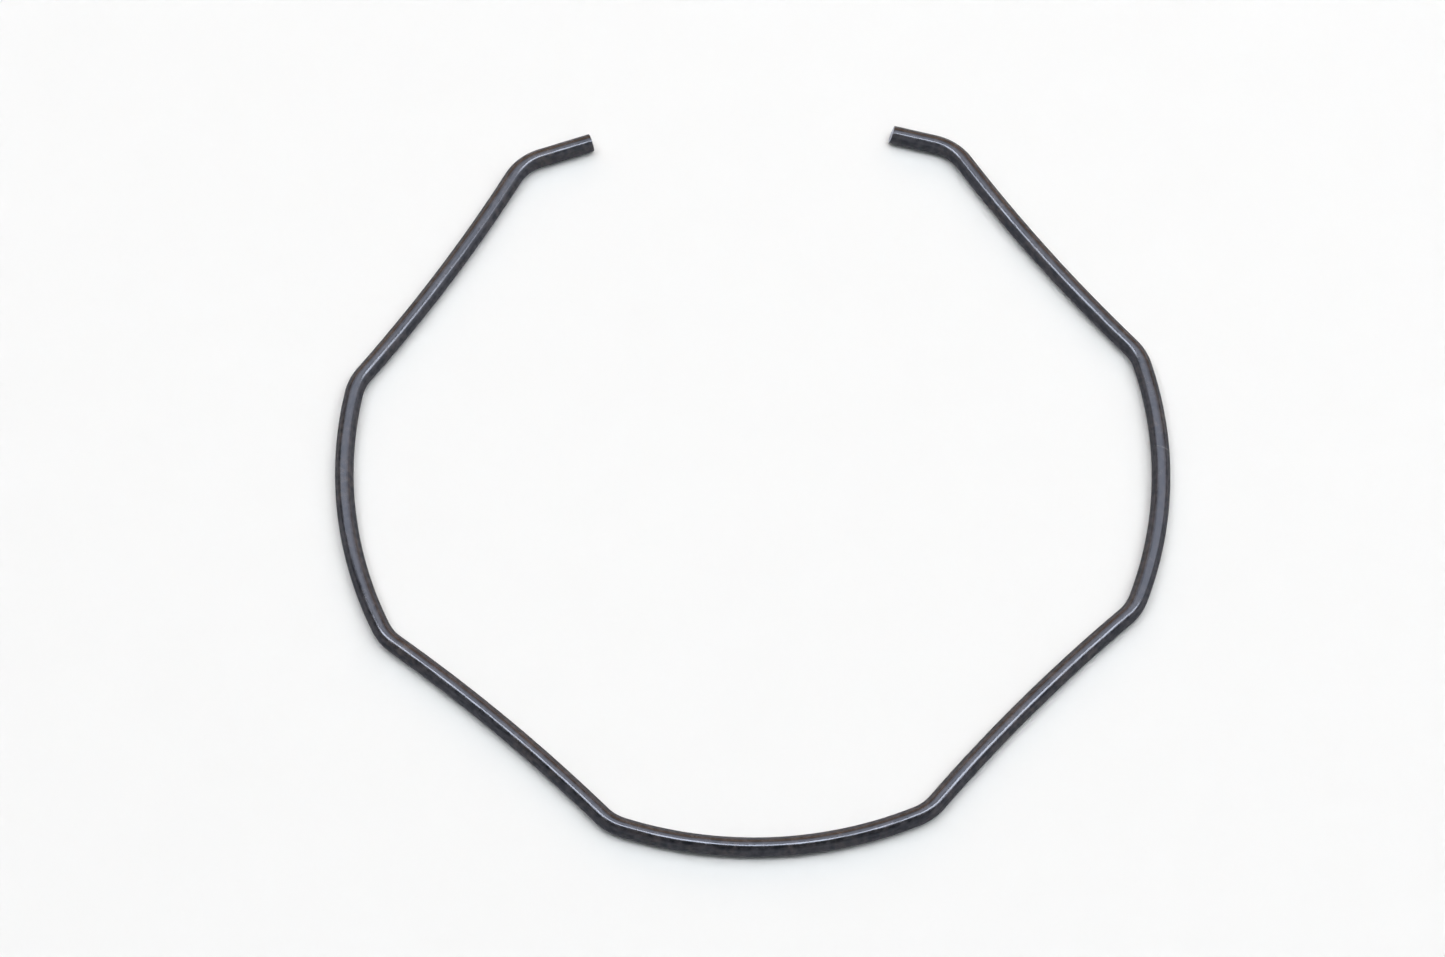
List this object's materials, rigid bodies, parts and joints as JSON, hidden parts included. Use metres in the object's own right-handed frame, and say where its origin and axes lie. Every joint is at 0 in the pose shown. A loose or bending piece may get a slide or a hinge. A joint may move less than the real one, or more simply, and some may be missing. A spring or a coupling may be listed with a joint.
{
  "type": "wire retaining ring",
  "caption": "Flat open retaining ring bent from round spring wire, with arcs that seat in a groove, inward-bowed legs that snap behind a rim, and short end tabs at the gap.",
  "frame": {"origin": "centre of the groove circle on which the arcs lie, in the mid-plane of the wire", "axes": "+Z along the axis of the groove, square to the flat ring; +Y from the centre towards the gap between the tabs; +X to the right with the gap at the far side"},
  "size_m": [0.09, 0.0855, 0.002],
  "materials": {
    "black_spring_wire": "satin black oxide on drawn spring-steel wire"
  },
  "bodies": {
    "root": {"retaining_ring": "black_spring_wire"}
  },
  "joints": []
}
